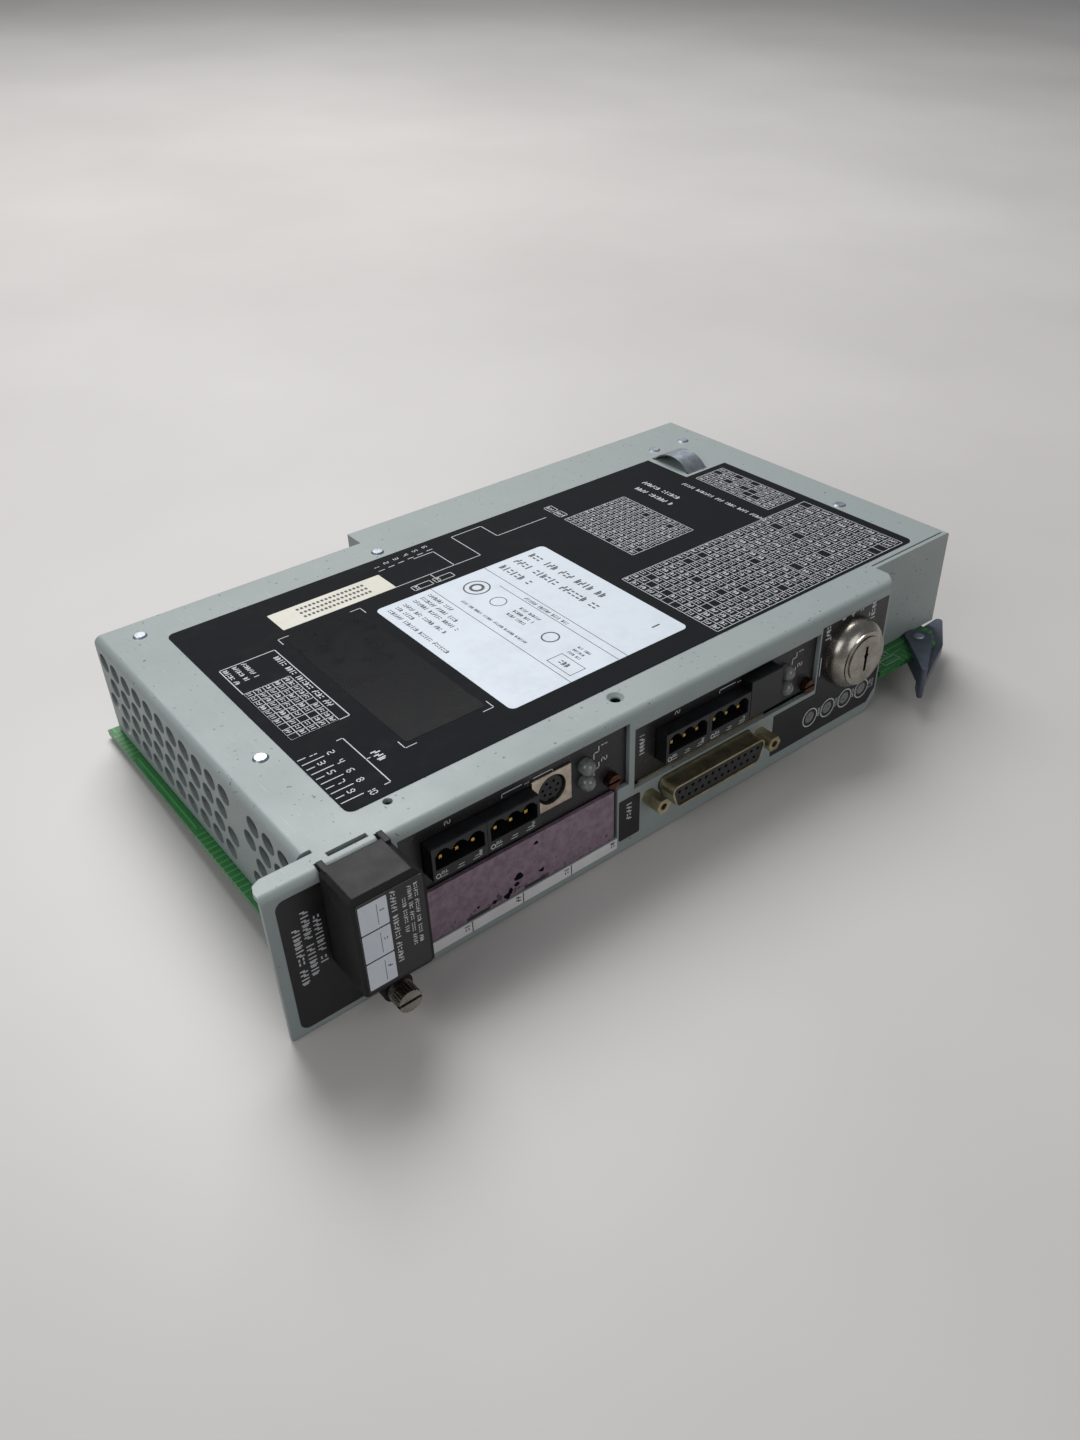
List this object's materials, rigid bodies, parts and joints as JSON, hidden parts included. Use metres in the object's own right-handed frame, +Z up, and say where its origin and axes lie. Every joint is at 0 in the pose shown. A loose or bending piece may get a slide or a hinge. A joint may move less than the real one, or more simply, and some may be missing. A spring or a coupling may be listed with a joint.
{
  "type": "plc module",
  "caption": "A slot-mounted controller module: a vented folded-steel cover over a circuit board, with a front of ports, lamps, a key switch, a battery cover and a card ejector.",
  "frame": {"origin": "the middle of the footprint, at the bottom of the front panel", "axes": "+X to the right along the front panel, +Y from the front panel to the rear edge contacts, +Z up through the vented cover"},
  "size_m": [0.276, 0.1714, 0.0532],
  "materials": {
    "cover_paint": "fine-textured grey-green enamel on folded steel sheet",
    "green_board": "solder-masked glass-epoxy circuit board",
    "gold_plate": "thin gold plate on contact metal",
    "zinc_plate": "bright zinc-plated steel",
    "black_paint": "satin black enamel on steel sheet",
    "bronze_screw": "dark bronze chromate on small screws",
    "black_plastic": "moulded glass-filled thermoplastic",
    "bright_nickel": "polished nickel plate",
    "yellow_passivate": "yellow passivated zinc on steel",
    "lamp_lens": "water-clear epoxy lamp lens",
    "label_film": "printed polyester label film",
    "white_strip": "write-on polyester strip",
    "cell_sleeve": "shrink sleeve round the cell",
    "capacitor_sleeve": "shrink sleeve round a capacitor",
    "switch_red": "moulded switch body",
    "switch_white": "moulded rocker",
    "cartridge_film": "purple lacquered cover with a pressed film",
    "lever_grey": "moulded blue-grey lever"
  },
  "bodies": {
    "module": {"housing": "cover_paint", "main_board": "green_board", "edge_contacts": "gold_plate", "channel_1_board": "green_board", "channel_2_board": "green_board", "board_standoffs": "zinc_plate", "cover_rivets": "zinc_plate", "board_screws": "zinc_plate", "channel_spacers": "zinc_plate", "stacking_connectors": "black_plastic", "channel_1_panel": "black_paint", "channel_2_panel": "black_paint", "window_screws": "bronze_screw", "channel_headers": "black_plastic", "header_pins": "gold_plate", "din_shell": "zinc_plate", "din_insert": "black_plastic", "din_contacts": "gold_plate", "din_blank": "black_plastic", "channel_leds": "lamp_lens", "status_leds": "lamp_lens", "status_lenses": "lamp_lens", "front_labels": "label_film", "port_shell": "yellow_passivate", "port_insulator": "black_plastic", "port_contacts": "gold_plate", "jack_screws": "yellow_passivate", "key_bezel": "bright_nickel", "key_barrel": "bright_nickel", "key_nut": "bright_nickel", "key_switch": "black_plastic", "overlay_label": "label_film", "channel_strip": "white_strip", "cartridge_bay": "black_plastic", "cartridge_socket": "black_plastic", "battery_tray": "black_plastic", "battery_contacts": "zinc_plate", "battery_cell": "cell_sleeve", "thumbscrew_nut": "bright_nickel", "spring_clip": "zinc_plate", "ejector_pin": "zinc_plate", "processor_chip": "black_plastic", "memory_chips": "black_plastic", "capacitors": "capacitor_sleeve", "dip_bank": "switch_red"},
    "key": {"key_plug": "bright_nickel"},
    "ejector": {"ejector_lever": "lever_grey"},
    "battery_door": {"battery_cover": "black_plastic"},
    "battery_screw": {"thumbscrew": "bright_nickel"},
    "cartridge_door": {"cartridge_cover": "cartridge_film"},
    "rocker_1": {"dip_rocker_1": "switch_white"},
    "rocker_2": {"dip_rocker_2": "switch_white"},
    "rocker_3": {"dip_rocker_3": "switch_white"},
    "rocker_4": {"dip_rocker_4": "switch_white"},
    "rocker_5": {"dip_rocker_5": "switch_white"},
    "rocker_6": {"dip_rocker_6": "switch_white"},
    "rocker_7": {"dip_rocker_7": "switch_white"},
    "rocker_8": {"dip_rocker_8": "switch_white"},
    "rocker_9": {"dip_rocker_9": "switch_white"},
    "rocker_10": {"dip_rocker_10": "switch_white"}
  },
  "joints": [
    {"name": "key_turn", "type": "hinge", "parent": "module", "child": "key", "pos_m": [0.07, -0.07425, 0.031], "axis": [0, 1, 0], "range_deg": [-50, 50]},
    {"name": "ejector_swing", "type": "hinge", "parent": "module", "child": "ejector", "pos_m": [0.117, -0.06575, 0.012], "axis": [0, 0, 1], "range_deg": [-8, 50]},
    {"name": "battery_door_pull", "type": "slide", "parent": "module", "child": "battery_door", "axis": [0, -1, 0], "range_m": [0, 0.03]},
    {"name": "battery_screw_turn", "type": "hinge", "parent": "battery_door", "child": "battery_screw", "pos_m": [-0.1115, -0.08225, 0.0094], "axis": [0, -1, 0], "continuous": true},
    {"name": "cartridge_door_pull", "type": "slide", "parent": "module", "child": "cartridge_door", "axis": [0, -1, 0], "range_m": [0, 0.02]},
    {"name": "rocker_1_tip", "type": "hinge", "parent": "module", "child": "rocker_1", "pos_m": [-0.1188, -0.04978, 0.0171], "axis": [0, 1, 0], "range_deg": [0, 40]},
    {"name": "rocker_2_tip", "type": "hinge", "parent": "module", "child": "rocker_2", "pos_m": [-0.1188, -0.04724, 0.0171], "axis": [0, 1, 0], "range_deg": [0, 40]},
    {"name": "rocker_3_tip", "type": "hinge", "parent": "module", "child": "rocker_3", "pos_m": [-0.1188, -0.0447, 0.0171], "axis": [0, 1, 0], "range_deg": [0, 40]},
    {"name": "rocker_4_tip", "type": "hinge", "parent": "module", "child": "rocker_4", "pos_m": [-0.1188, -0.04216, 0.0171], "axis": [0, 1, 0], "range_deg": [0, 40]},
    {"name": "rocker_5_tip", "type": "hinge", "parent": "module", "child": "rocker_5", "pos_m": [-0.1188, -0.03962, 0.0171], "axis": [0, 1, 0], "range_deg": [0, 40]},
    {"name": "rocker_6_tip", "type": "hinge", "parent": "module", "child": "rocker_6", "pos_m": [-0.1188, -0.03708, 0.0171], "axis": [0, 1, 0], "range_deg": [0, 40]},
    {"name": "rocker_7_tip", "type": "hinge", "parent": "module", "child": "rocker_7", "pos_m": [-0.1188, -0.03454, 0.0171], "axis": [0, 1, 0], "range_deg": [0, 40]},
    {"name": "rocker_8_tip", "type": "hinge", "parent": "module", "child": "rocker_8", "pos_m": [-0.1188, -0.032, 0.0171], "axis": [0, 1, 0], "range_deg": [0, 40]},
    {"name": "rocker_9_tip", "type": "hinge", "parent": "module", "child": "rocker_9", "pos_m": [-0.1188, -0.02946, 0.0171], "axis": [0, 1, 0], "range_deg": [0, 40]},
    {"name": "rocker_10_tip", "type": "hinge", "parent": "module", "child": "rocker_10", "pos_m": [-0.1188, -0.02692, 0.0171], "axis": [0, 1, 0], "range_deg": [0, 40]}
  ]
}
